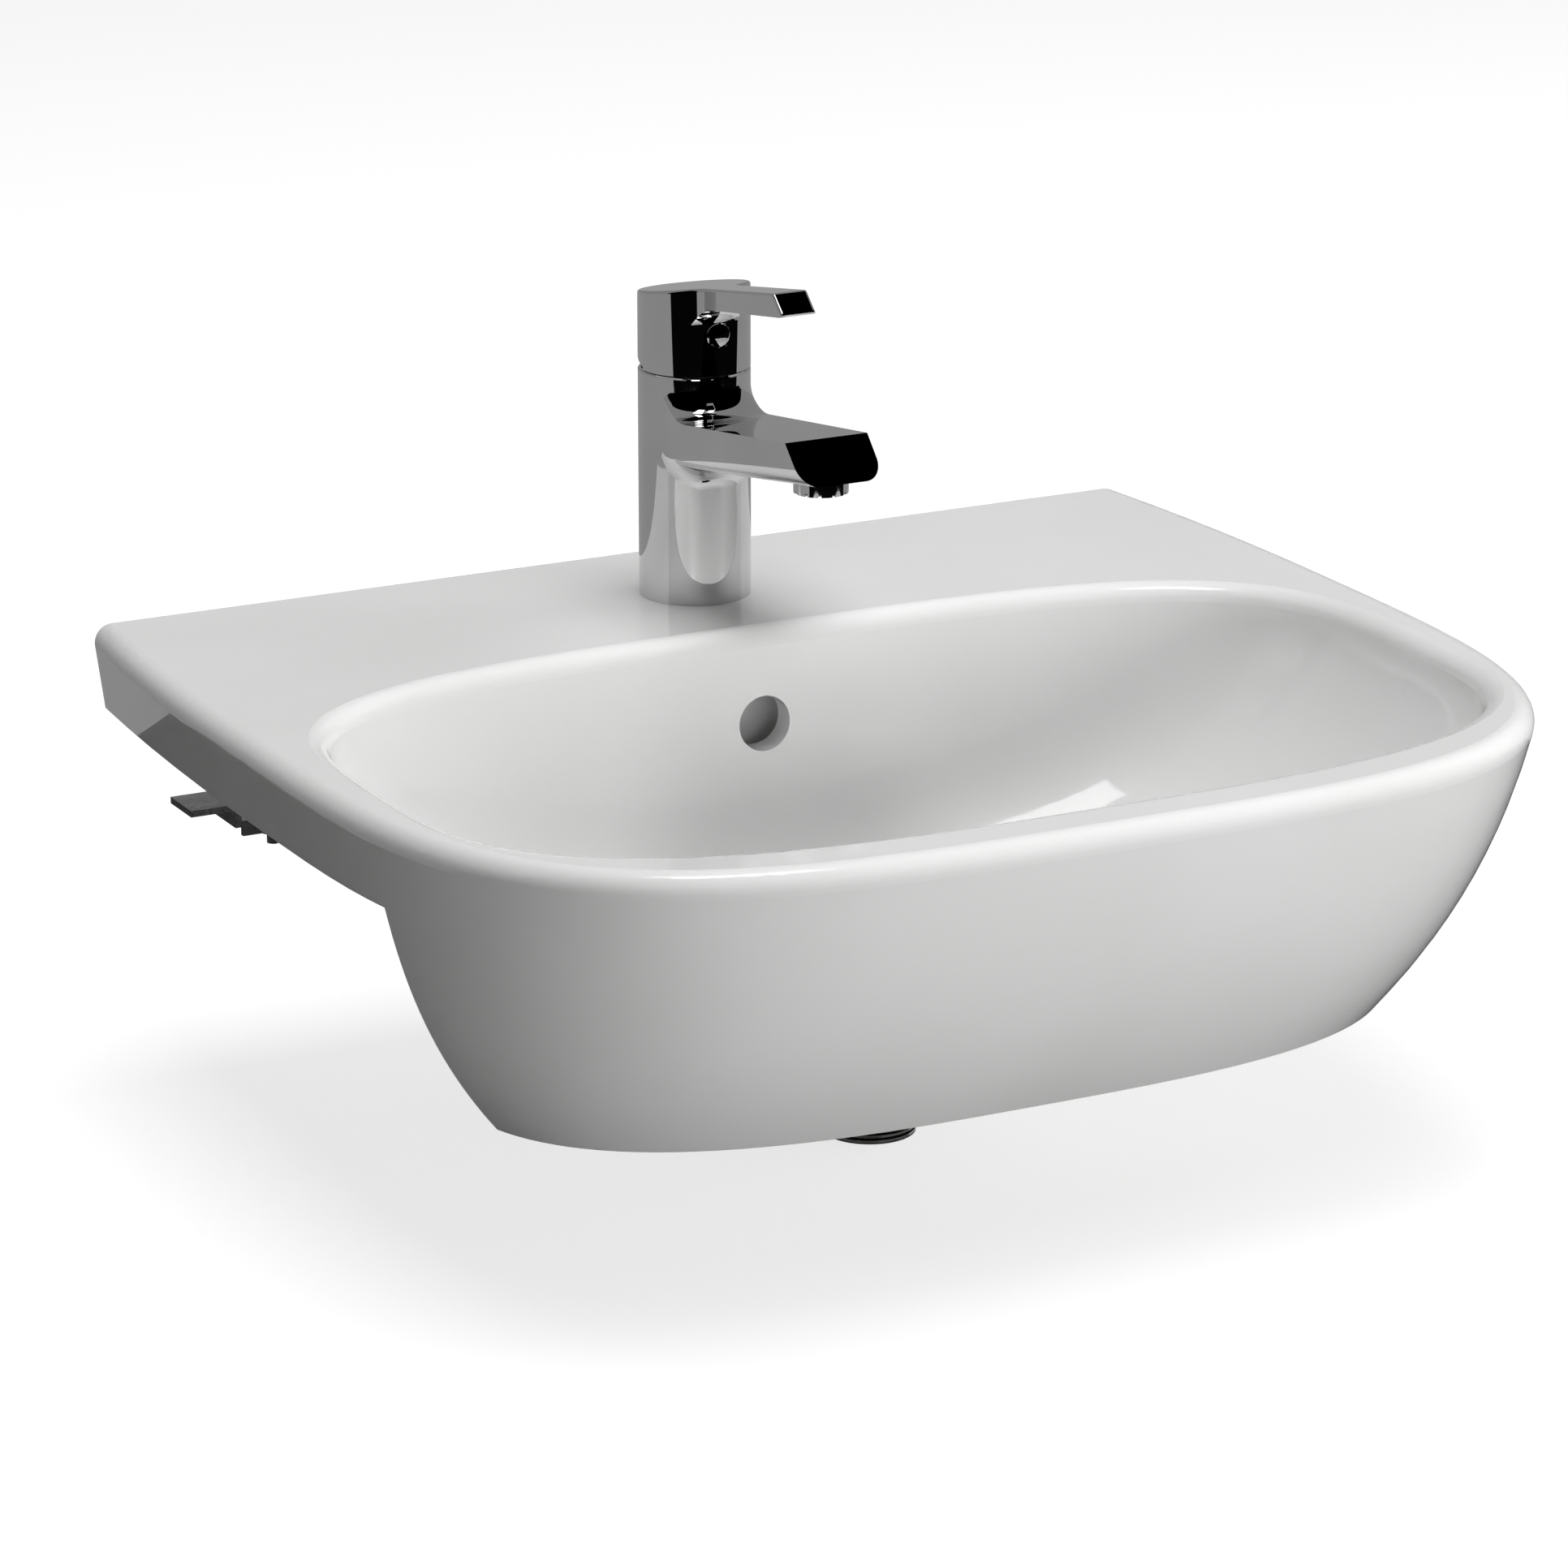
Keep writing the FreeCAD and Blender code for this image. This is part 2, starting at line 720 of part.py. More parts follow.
def is_neck(edge):
    """Whether an edge is where the spout leaves the column."""
    box = edge.BoundBox
    reach = max(abs(box.YMin), abs(box.YMax))
    inside = box.ZMin > number("spout_bottom") - 5 and box.ZMax < number("body_height") - 2
    return inside and box.YMax < -1 and reach < number("body_radius") + 0.1


# ---------------------------------------------------------------- the cartridge
def draw_ports(sketch, radius):
    """The cartridge's two inlets and its outlet."""
    draw_circle(sketch, radius, "port_spread", "inlet_back")
    draw_circle(sketch, radius, "-port_spread", "inlet_back")
    draw_circle(sketch, radius, "0", "-port_spread - slide_gap")


def add_disc(name, radius, low, thickness):
    """A round plate of the cartridge, on its own level above the cavity's floor."""
    body = new_body(name, "0", TAP_Y, f"{CAVITY_Z} + {low}")
    sketch = new_sketch(body, "XY_Plane")
    draw_circle(sketch, radius)
    extrude(body, "Pad", sketch, thickness)
    return body


def add_cartridge():
    """The ceramic disc cartridge between the cavity's floor and its nut."""
    base = add_disc("cartridge_base", "cavity_radius - play", "0", "base_thickness")
    sketch = new_sketch(base, "XY_Plane")
    draw_ports(sketch, "port_radius")
    extrude(base, "Pocket", sketch, "0", "Symmetric")
    sketch = new_sketch(base, "XY_Plane")
    draw_ports(sketch, "ring_radius + slide_gap")
    extrude(base, "Pocket", sketch, "ring_depth + slide_gap", back=True)

    seals = new_body("port_seals", "0", TAP_Y, CAVITY_Z)
    sketch = new_sketch(seals, "XY_Plane")
    draw_ports(sketch, "ring_radius")
    draw_ports(sketch, "port_radius + play")
    extrude(seals, "Pad", sketch, "ring_depth")

    fixed_disc = add_disc("lower_disc", "lower_disc_radius", "base_thickness", "lower_disc_thickness")
    sketch = new_sketch(fixed_disc, "XY_Plane")
    draw_ports(sketch, "port_radius")
    extrude(fixed_disc, "Pocket", sketch, "0", "Symmetric")

    add_disc("upper_disc", "upper_disc_radius", DISC_LEVEL, "upper_disc_thickness")
    carrier = add_disc("disc_carrier", "carrier_radius", CARRIER_LEVEL, "carrier_thickness")
    drill(carrier, "ball_radius + play")

    low = f"{CARRIER_LEVEL} + carrier_thickness + play"
    rotor_outline = [
        ("0", low),
        ("lower_disc_radius", low),
        ("lower_disc_radius", low + " + rotor_flange"),
        ("neck_bore - groove_play", low + " + rotor_flange"),
        ("neck_bore - groove_play", "rotor_top"),
        ("0", "rotor_top"),
    ]
    rotor = turned("cartridge_rotor", rotor_outline, "0", TAP_Y, CAVITY_Z)
    sketch = new_sketch(rotor, "XY_Plane")
    draw_outline(sketch, rectangle("stem_width / 2 + groove_play", "-slot_front", "slot_rear"))
    extrude(rotor, "Pocket", sketch, "0", "Symmetric")
    cross_hole(rotor)

    ceiling = f"{low} + rotor_flange + play"
    shoulder = f"{ceiling} + shoulder_wall"
    housing = [
        ("pocket_radius", "base_thickness"),
        ("cavity_radius - groove_play", "base_thickness"),
        ("cavity_radius - groove_play", shoulder),
        ("neck_outer", shoulder),
        ("neck_outer", "neck_top"),
        ("neck_bore", "neck_top"),
        ("neck_bore", ceiling),
        ("pocket_radius", ceiling),
    ]
    turned("cartridge_housing", housing, "0", TAP_Y, CAVITY_Z)
    nut_low = "cavity_depth - mouth_depth - thread_depth + 1.5"
    nut = [
        ("cavity_radius", nut_low),
        ("thread_radius - groove_play", nut_low),
        ("thread_radius - groove_play", shoulder + " + nut_flange"),
        ("neck_outer + play", shoulder + " + nut_flange"),
        ("neck_outer + play", shoulder),
        ("cavity_radius", shoulder),
    ]
    turned("cartridge_nut", nut, "0", TAP_Y, CAVITY_Z)

    pin = new_body("pivot_pin", "0", TAP_Y, PIVOT_Z)
    sketch = new_sketch(pin, "YZ_Plane")
    draw_circle(sketch, "pivot_radius - slide_gap")
    extrude(pin, "Pad", sketch, "pin_reach * 2", "Symmetric")


def cross_hole(body):
    """The pivot's hole from side to side through the rotor or the stem."""
    sketch = new_sketch(body, "YZ_Plane")
    draw_circle(sketch, "pivot_radius", "0", PIVOT_RISE)
    extrude(body, "Pocket", sketch, "0", "Symmetric")


# ---------------------------------------------------------------- the lever and what it carries
def add_lever():
    """The hollow cap with its forward lever, which turns and tilts on the pivot."""
    body = new_body("handle_lever", "0", TAP_Y, LEVER_Z)
    cap = new_sketch(body, "XY_Plane")
    draw_circle(cap, "body_radius")
    extrude(body, "Pad", cap, "cap_height * 2")
    crop = new_sketch(body, "YZ_Plane")
    far = "body_radius * 2"
    above = [
        ("-" + far, "cap_height + body_radius * 2 * tan(cap_slope)"),
        (far, "cap_height - body_radius * 2 * tan(cap_slope)"),
        (far, "cap_height * 3"),
        ("-" + far, "cap_height * 3"),
    ]
    draw_outline(crop, above)
    extrude(body, "Pocket", crop, "0", "Symmetric")
    side = new_sketch(body, "YZ_Plane")
    profile = [
        ("-hub_radius", "cap_height + hub_radius * tan(cap_slope)"),
        ("-lever_out", "cap_height + lever_out * tan(cap_slope)"),
        ("-lever_tip_out", "lever_tip_bottom"),
        ("-hub_radius", LEVER_UNDERSIDE),
    ]
    draw_outline(side, profile)
    extrude(body, "Pad", side, "lever_width", "Symmetric")
    soften(body, "Fillet", "lever_root_rounding", is_lever_root)
    soften(body, "Fillet", "lever_rounding", is_lever_rim)

    hollow = new_sketch(body, "XZ_Plane")
    inside = [
        ("0", "-1"),
        ("cap_bore", "-1"),
        ("cap_bore", "cap_ceiling"),
        ("hub_radius", "cap_ceiling"),
        ("hub_radius", "hub_bottom"),
        ("0", "hub_bottom"),
    ]
    draw_outline(hollow, inside)
    turn(body, "Groove", hollow)
    socket = new_sketch(body, "XY_Plane", "hub_bottom")
    half_depth = "(stem_depth / 2 + socket_gap)"
    draw_outline(socket, rectangle("stem_width / 2 + socket_gap", "-" + half_depth, half_depth))
    socket_depth = f"{CAVITY_Z} + stem_top + groove_play - ({LEVER_Z}) - hub_bottom"
    extrude(body, "Pocket", socket, socket_depth, back=True)

    button = new_sketch(body, "XZ_Plane", "body_radius - index_depth")
    draw_circle(button, "index_radius", "0", "index_level")
    extrude(body, "Pocket", button, "index_depth * 2", back=True)
    screw = new_sketch(body, "XZ_Plane")
    draw_circle(screw, "grub_radius + slide_gap", "0", "index_level")
    extrude(body, "Pocket", screw, "body_radius", back=True)

    relief = new_sketch(body, "XY_Plane", PIVOT_RISE_LOCAL)
    draw_relief(relief)
    groove = add_feature(body, "Groove", relief)
    groove.ReferenceAxis = (relief, ["H_Axis"])
    groove.Type = "TwoAngles"
    bind(groove, "Angle", "relief_lift")
    groove.Angle2 = 30.0
    settle(body, groove, True)


def draw_relief(sketch):
    """What lies outside the ball about the pivot, behind the pivot."""
    radius = RELIEF_RADIUS
    size = number(radius)
    arc = sketch.addGeometry(Part.ArcOfCircle(Part.Circle(Vector(), Vector(0, 0, 1), size), 0, math.pi))
    sketch.addConstraint(Sketcher.Constraint("Coincident", arc, 3, -1, 1))
    index = sketch.addConstraint(Sketcher.Constraint("Radius", arc, size))
    bind(sketch, f"Constraints[{index}]", radius)
    wide = number("body_radius") + 3
    corners = [Vector(-size, 0, 0), Vector(-wide, 0, 0), Vector(-wide, wide, 0)]
    corners += [Vector(wide, wide, 0), Vector(wide, 0, 0), Vector(size, 0, 0)]
    lines = [sketch.addGeometry(Part.LineSegment(a, b)) for a, b in zip(corners, corners[1:])]
    sketch.addConstraint(Sketcher.Constraint("Coincident", arc, 2, lines[0], 1))
    sketch.addConstraint(Sketcher.Constraint("Coincident", arc, 1, lines[-1], 2))
    for line, following in zip(lines, lines[1:]):
        sketch.addConstraint(Sketcher.Constraint("Coincident", line, 2, following, 1))
    for line in lines[1:]:
        point = sketch.getPoint(line, 1)
        hold_point(sketch, line, 1, wide_text(point.x), "0" if abs(point.y) < 1e-6 else wide_text(point.y))
    sketch.addConstraint(Sketcher.Constraint("PointOnObject", arc, 1, -1))
    sketch.addConstraint(Sketcher.Constraint("PointOnObject", arc, 2, -1))


def wide_text(value):
    """The formula of the relief's far corner on one side or the other."""
    return ("" if value > 0 else "-") + "(body_radius + 3)"


def is_lever_root(edge):
    """Whether an edge is where the lever leaves the cap, at its sides or below it."""
    box = edge.BoundBox
    at_cap = -number("body_radius") - 0.1 < box.YMin and box.YMax < -number("body_radius") * 0.9
    narrow = box.XMax < number("lever_width / 2") + 0.1 and box.XMin > -number("lever_width / 2") - 0.1
    return at_cap and narrow and box.ZMin > number("cap_ceiling")


def is_lever_rim(edge):
    """Whether an edge bounds the cap's top, the lever's top or the lever's tip."""
    box = edge.BoundBox
    middle = edge.valueAt((edge.FirstParameter + edge.LastParameter) / 2)
    level = number("cap_height") - middle.y * math.tan(math.radians(number("cap_slope")))
    return abs(middle.z - level) < 0.3 or box.YMax < -number("lever_out") + 0.5


def add_lever_parts():
    """The stem in the lever's socket, its grub screw and the index button."""
    stem = new_body("lever_stem", "0", TAP_Y, CAVITY_Z)
    shank_low = "(ball_level + ball_radius)"
    sketch = new_sketch(stem, "XY_Plane", shank_low)
    draw_outline(sketch, rectangle("stem_width / 2", "-stem_depth / 2", "stem_depth / 2"))
    extrude(stem, "Pad", sketch, "stem_top - ball_level - ball_radius")
    cross_hole(stem)
    neck = new_sketch(stem, "XY_Plane", "ball_level")
    draw_circle(neck, "ball_radius * 0.7")
    extrude(stem, "Pad", neck, "ball_radius + 1")
    ball = stem.newObject("PartDesign::AdditiveSphere", "lever_stem_ball")
    bind(ball, "Radius", "ball_radius")
    bind(ball, "Placement.Base.z", "ball_level")
    doc.recompute()

    grub = new_body("grub_screw", "0", TAP_Y, f"{LEVER_Z} + index_level")
    sketch = new_sketch(grub, "XZ_Plane", "stem_depth / 2 + socket_gap")
    draw_circle(sketch, "grub_radius")
    extrude(grub, "Pad", sketch, "grub_length")

    button = new_body("index_plug", "0", TAP_Y, f"{LEVER_Z} + index_level")
    sketch = new_sketch(button, "XZ_Plane", "body_radius - index_depth + slide_gap")
    draw_circle(sketch, "index_radius - groove_play")
    extrude(button, "Pad", sketch, "index_depth + slide_gap")
    soften(button, "Fillet", "index_rounding", lambda edge: edge.BoundBox.YMax < -number("body_radius") + 0.2)


# ---------------------------------------------------------------- the spout's aerator
def add_aerator():
    """The screwed shell at the spout's end, its insert and its washer."""
    shell = [
        ("aerator_lip", "0"),
        ("aerator_ring", "0"),
        ("aerator_ring", "aerator_flange"),
        ("aerator_thread", "aerator_flange"),
        ("aerator_thread", "aerator_height"),
        ("aerator_bore", "aerator_height"),
        ("aerator_bore", "aerator_lip_height"),
        ("aerator_lip", "aerator_lip_height"),
    ]
    level = "deck_top + aerator_bottom"
    across = f"{TAP_Y} - aerator_out"
    body = turned("aerator_shell", shell, "0", across, level)
    sketch = new_sketch(body, "XY_Plane")
    half = "aerator_notch / 2"
    draw_outline(sketch, rectangle(half, "aerator_bore", "aerator_ring + 1"))
    notch = extrude(body, "Pocket", sketch, "aerator_notch", back=True)
    repeat(body, notch, "aerator_notches")

    insert_z = f"{level} + aerator_lip_height"
    insert = new_body("aerator_insert", "0", across, insert_z)
    sketch = new_sketch(insert, "XY_Plane")
    draw_circle(sketch, "aerator_bore - groove_play")
    extrude(insert, "Pad", sketch, "aerator_height - aerator_lip_height - groove_play")
    washer_outline = ring("aerator_bore", "aerator_thread", "0", "aerator_seal")
    turned("aerator_washer", washer_outline, "0", across, f"{level} + aerator_height")


# ---------------------------------------------------------------- the fixing below the deck
def add_horseshoe(name, thickness, top):
    """A slotted plate that the stud draws up against the deck's underside."""
    body = new_body(name, "0", TAP_Y, f"{top} - {thickness}")
    sketch = new_sketch(body, "XY_Plane")
    draw_circle(sketch, "plate_radius")
    extrude(body, "Pad", sketch, thickness)
    slot = new_sketch(body, "XY_Plane")
    draw_outline(slot, rectangle("plate_slot / 2", "-plate_slot_edge", "plate_radius + 1"))
    extrude(body, "Pocket", slot, "0", "Symmetric")
    drill(body, "stud_radius + play", "0", "-stud_out")


def add_mixer_fixing():
    """The seal under the mixer, and the stud, plates and nut that hold it down."""
    turned("base_seal", ring("seal_inner", "seal_outer", "0", "seal_thickness"), "0", TAP_Y, "deck_top")
    stud = new_body("fixing_stud", "0", f"{TAP_Y} - stud_out", "deck_top - stud_drop")
    sketch = new_sketch(stud, "XY_Plane")
    draw_circle(sketch, "stud_radius")
    extrude(stud, "Pad", sketch, "stud_drop + stud_grip - play")
    add_horseshoe("horseshoe_gasket", "rubber_thickness", SLAB_Z)
    add_horseshoe("horseshoe_washer", "plate_thickness", f"{SLAB_Z} - rubber_thickness")
    nut_top = f"{SLAB_Z} - rubber_thickness - plate_thickness"
    nut_z = f"{nut_top} - fixing_nut_height"
    add_nut("fixing_nut", "fixing_nut_radius", "stud_radius + slide_gap", "fixing_nut_height")
    set_down(pieces[-1], "0", f"{TAP_Y} - stud_out", nut_z)


def add_nut(name, radius, bore, height):
    """A six-sided nut."""
    body = new_body(name)
    sketch = new_sketch(body, "XY_Plane")
    corners = []
    for step in range(6):
        corners.append((f"{radius} * cos({60 * step})", f"{radius} * sin({60 * step})" if step % 3 else "0"))
    draw_outline(sketch, corners)
    draw_circle(sketch, bore)
    extrude(body, "Pad", sketch, height)


# ---------------------------------------------------------------- the click waste
def add_waste():
    """The waste in the drain, with its seals, its backnut and the push plug."""
    seat = f"{FLOOR_Z} - drain_recess_depth"
    gasket = ring("drain_bore + groove_play", "gasket_radius", "0", "gasket_thickness")
    turned("flange_gasket", gasket, "0", DRAIN_Y, seat)

    flange_z = f"{seat} + gasket_thickness"
    outline = [
        ("waste_bore", "-waste_length"),
        ("tail_radius", "-waste_length"),
        ("tail_radius", "tail_length - waste_length"),
        ("waste_radius", "tail_length - waste_length"),
        ("waste_radius", "0"),
        ("waste_flange_radius", "0"),
        ("waste_flange_radius", "waste_flange_thickness"),
        ("waste_bore", "waste_flange_thickness"),
    ]
    waste = turned("waste_body", outline, "0", DRAIN_Y, flange_z)
    side = new_sketch(waste, "XZ_Plane")
    draw_outline(side, rectangle("slot_width / 2", "-slot_drop", "slot_height - slot_drop"))
    slot = extrude(waste, "Pocket", side, "waste_radius + 1")
    repeat(waste, slot, "4")

    boss_z = f"{FLOOR_Z} - boss_depth"
    cone = [
        ("waste_radius + play", "-cone_thickness"),
        ("backnut_radius", "-cone_thickness"),
        ("backnut_radius", "-cone_thickness / 2"),
        ("drain_bore + cone_thickness / 2", "0"),
        ("waste_radius + play", "0"),
    ]
    turned("waste_cone_washer", cone, "0", DRAIN_Y, boss_z)
    slip = ring("waste_radius + groove_play", "backnut_radius", "0", "slip_thickness")
    turned("slip_washer", slip, "0", DRAIN_Y, f"{boss_z} - cone_thickness - slip_thickness")
    add_nut("waste_backnut", "backnut_radius", "waste_radius + slide_gap", "backnut_height")
    set_down(pieces[-1], "0", DRAIN_Y, f"{boss_z} - cone_thickness - slip_thickness - backnut_height")

    rim_z = f"{flange_z} + waste_flange_thickness"
    guide = new_body("plug_guide", "0", DRAIN_Y, f"{rim_z} - guide_drop - guide_height")
    sketch = new_sketch(guide, "XY_Plane")
    draw_circle(sketch, "waste_bore - groove_play")
    draw_circle(sketch, "waste_bore - groove_play - guide_wall")
    extrude(guide, "Pad", sketch, "guide_height")
    sketch = new_sketch(guide, "XY_Plane")
    rib = rectangle("guide_rib / 2", "0", "waste_bore - guide_wall")
    draw_outline(sketch, rib)
    bar = extrude(guide, "Pad", sketch, "guide_height")
    repeat(guide, bar, "3")
    sketch = new_sketch(guide, "XY_Plane")
    draw_circle(sketch, "guide_hub")
    extrude(guide, "Pad", sketch, "guide_height")
    drill(guide, "plug_stem_radius + slide_gap")

    plug_z = f"{rim_z} + plug_raise"
    plug = [
        ("0", "0"),
        ("plug_radius", "0"),
        ("plug_radius", "plug_thickness - plug_dome / 2"),
        ("plug_radius * 0.8", "plug_thickness + plug_dome / 3"),
        ("plug_radius * 0.4", "plug_thickness + plug_dome * 0.85"),
        ("0", "plug_thickness + plug_dome"),
    ]
    turned("plug_cap", plug, "0", DRAIN_Y, plug_z)
    seal = ring("plug_seal_inner", "plug_seal_outer", "-plug_seal_thickness", "0")
    turned("plug_seal", seal, "0", DRAIN_Y, plug_z)
    stem = new_body("plug_stem", "0", DRAIN_Y, f"{plug_z} - plug_stem_length")
    sketch = new_sketch(stem, "XY_Plane")
    draw_circle(sketch, "plug_stem_radius")
    extrude(stem, "Pad", sketch, "plug_stem_length")


# ---------------------------------------------------------------- the clamps under the worktop
def add_clamps():
    """The insert, rod, bracket and wing nut on each side of the rear seat."""
    across = "rear_edge - clamp_back"
    insert = new_body("clamp_insert", "clamp_side", across, SLAB_Z)
    sketch = new_sketch(insert, "XY_Plane")
    draw_circle(sketch, "insert_radius - slide_gap")
    draw_circle(sketch, "rod_radius + slide_gap")
    extrude(insert, "Pad", sketch, "insert_depth - groove_play")
    on_both_sides(insert, "clamp_inserts")

    rod = new_body("clamp_rod", "clamp_side", across, f"{SLAB_Z} + insert_depth - play - rod_drop")
    sketch = new_sketch(rod, "XY_Plane")
    draw_circle(sketch, "rod_radius")
    extrude(rod, "Pad", sketch, "rod_drop")
    on_both_sides(rod, "clamp_rods")

    bracket = new_body("clamp_bracket", "clamp_side", across, "-worktop_thickness")
    sketch = new_sketch(bracket, "XZ_Plane")
    profile = [
        ("-bracket_in", "-bracket_step - bracket_thickness"),
        ("-bracket_in", "-bracket_step"),
        ("bracket_bend", "-bracket_step"),
        ("bracket_bend", "0"),
        ("bracket_out", "0"),
        ("bracket_out", "-bracket_thickness"),
        ("bracket_bend + bracket_thickness", "-bracket_thickness"),
        ("bracket_bend + bracket_thickness", "-bracket_step - bracket_thickness"),
    ]
    draw_outline(sketch, profile)
    extrude(bracket, "Pad", sketch, "bracket_width", "Symmetric")
    drill(bracket, "rod_radius + play")
    on_both_sides(bracket, "clamp_brackets")

    wing_z = "-worktop_thickness - bracket_step - bracket_thickness - wing_height"
    wing = new_body("wing_nut", "clamp_side", across, wing_z)
    sketch = new_sketch(wing, "XY_Plane")
    half = "(wing_thickness / 2)"
    draw_outline(sketch, rectangle("wing_span / 2", "-" + half, half))
    extrude(wing, "Pad", sketch, "wing_height - 1")
    sketch = new_sketch(wing, "XY_Plane")
    draw_circle(sketch, "wing_hub")
    extrude(wing, "Pad", sketch, "wing_height")
    drill(wing, "rod_radius + slide_gap")
    on_both_sides(wing, "wing_nuts")


add_ware()
add_mixer_body()
add_cartridge()
add_lever()
add_lever_parts()
add_aerator()
add_mixer_fixing()
add_waste()
add_clamps()
doc.recompute()

# ---------------------------------------------------------------- checks and the exchange files
for item in doc.Objects:
    if "Invalid" in item.State or "Error" in item.State:
        raise ValueError(f"{item.Label} is not worked out: {item.State}")
os.makedirs("parts", exist_ok=True)
for piece in pieces:
    shape = piece.Shape
    if shape.isNull() or not shape.isValid():
        raise ValueError(f"{piece.Label} has no valid shape")
    box = shape.BoundBox
    reach = f"z {box.ZMin:.2f} to {box.ZMax:.2f}"
    print(f"{piece.Label}: {len(shape.Solids)} solid(s), {shape.Volume:.0f} mm3, {reach}")
    shape.exportStep(f"parts/{piece.Label}.step")
print(len(pieces), "pieces")
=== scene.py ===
# %% [markdown]
# # A semi recessed washbasin, dressed for its picture
# The solid model of the basin already exists as a frame: every piece has its real size and place,
# in metres, with the origin on the worktop in the middle of the basin's rear seat strip.
# This script gives that frame its camera, its light and its finishes, and models the index button
# anew, because a flat disc doesn't show its form.

import bpy
import json
import math
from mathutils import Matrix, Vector


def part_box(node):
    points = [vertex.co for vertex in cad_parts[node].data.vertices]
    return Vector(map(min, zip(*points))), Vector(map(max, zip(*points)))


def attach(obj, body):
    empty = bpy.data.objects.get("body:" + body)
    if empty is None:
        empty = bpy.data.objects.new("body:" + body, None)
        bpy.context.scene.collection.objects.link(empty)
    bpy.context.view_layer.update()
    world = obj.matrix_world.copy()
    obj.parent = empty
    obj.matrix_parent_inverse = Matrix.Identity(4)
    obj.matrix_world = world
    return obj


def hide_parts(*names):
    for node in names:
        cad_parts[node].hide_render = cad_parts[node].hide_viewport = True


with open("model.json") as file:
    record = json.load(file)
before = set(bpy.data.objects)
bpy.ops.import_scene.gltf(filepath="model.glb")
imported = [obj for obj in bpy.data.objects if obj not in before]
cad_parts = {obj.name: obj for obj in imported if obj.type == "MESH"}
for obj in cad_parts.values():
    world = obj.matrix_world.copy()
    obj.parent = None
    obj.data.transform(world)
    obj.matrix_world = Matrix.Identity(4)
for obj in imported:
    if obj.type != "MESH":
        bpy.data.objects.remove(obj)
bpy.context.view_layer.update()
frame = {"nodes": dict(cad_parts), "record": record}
nodes = frame["nodes"]
MM = 0.001

# %% [markdown]
# ## The camera
# The picture was taken from the front left, a little above the rim, with a long lens from about
# three metres: far enough that the deck's edges hardly run together. The yaw turns the view to
# the right of straight ahead and the pitch tips it down to the bowl.

# %% Camera
VIEW_PLACE = (-1.2914, -2.6636, 0.8584)
VIEW_YAW = 27.256
VIEW_PITCH = 17.457
VIEW_LENS = 151.86


def add_camera():
    """The camera at the picture's place, on a 36 mm wide frame."""
    data = bpy.data.cameras.new("camera")
    data.lens = VIEW_LENS
    data.sensor_width = 36.0
    data.clip_end = 100.0
    camera = bpy.data.objects.new("camera", data)
    camera.location = VIEW_PLACE
    camera.rotation_euler = (math.radians(90 - VIEW_PITCH), 0, math.radians(-VIEW_YAW))
    bpy.context.scene.collection.objects.link(camera)
    bpy.context.scene.camera = camera
    return camera


camera = add_camera()
bpy.context.scene.view_settings.view_transform = "Standard"
print("camera:", tuple(round(part, 3) for part in camera.location))

# %% [markdown]
# ## Nodes in a few words
# A material is a small graph. These helpers add a node, join two sockets and open a new finish
# with its shader, so that the finishes below read as a list of what they are made of.


# %% Node helpers
def add_node(tree, kind, **settings):
    """A node of one kind. A setting sets the input socket of its name, or else an option."""
    node = tree.nodes.new(kind)
    for name, value in settings.items():
        socket = name.replace("_", " ")
        if hasattr(node, name) and socket not in node.inputs:
            setattr(node, name, value)
        else:
            node.inputs[socket].default_value = value
    return node


def join(tree, start, end):
    """A link from an output socket to an input socket."""
    tree.links.new(start, end)


def new_finish(name, **settings):
    """A material with one Principled shader, and its tree and shader to build on."""
    material = bpy.data.materials.new(name)
    material.use_nodes = True
    tree = material.node_tree
    shader = tree.nodes["Principled BSDF"]
    for socket, value in settings.items():
        shader.inputs[socket.replace("_", " ")].default_value = value
    return material, tree, shader


def new_group(name, inputs, outputs):
    """A shader node group with named inputs, given as (name, kind, value), and named outputs."""
    group = bpy.data.node_groups.new(name, "ShaderNodeTree")
    for title, kind, value in inputs:
        socket = group.interface.new_socket(title, in_out="INPUT", socket_type="NodeSocket" + kind)
        socket.default_value = value
    for title, kind in outputs:
        group.interface.new_socket(title, in_out="OUTPUT", socket_type="NodeSocket" + kind)
    start = group.nodes.new("NodeGroupInput")
    end = group.nodes.new("NodeGroupOutput")
    return group, start, end


def use_group(tree, group, **settings):
    """The group placed in a material, with its own values."""
    node = tree.nodes.new("ShaderNodeGroup")
    node.node_tree = group
    for socket, value in settings.items():
        node.inputs[socket.replace("_", " ")].default_value = value
    return node


print("helpers ready")

# %% [markdown]
# ## The stage
# The basin is shown on nothing but a pale floor. The floor takes the soft shadow, and a little
# light of its own, seen by the camera and in reflections only, lifts it to white.
# Polished metal shows its surroundings, so a studio hangs a grey room round it, lays grey boards
# at about the worktop's height to the sides and behind, and hangs dark flags in front and over the
# floor: they make the crisp black bands on the chrome. Only reflections see any of these.


# %% Floor and cloths
FLOOR_LEVEL = -0.1656
FLOOR_SIZE = 40.0
FLOOR_PAINT = 0.4
FLOOR_LIFT = 0.73
ROOM_SIZE = 24.0
ROOM_TONE = 0.3
FLAG_THICKNESS = 0.02
FRONT_FLAG_Y = -1.6
FRONT_FLAG_TONE = 0.0
FLOOR_FLAG_TONE = 0.002
BOARD_LENGTH = 12.0
BOARD_THICKNESS = 0.004
BOARD_LEVEL = -0.02
BOARD_TONE = 0.36
BOARD_SIDE_START = 0.34
BOARD_FRONT_START = -0.312
BOARD_REAR_START = 0.012


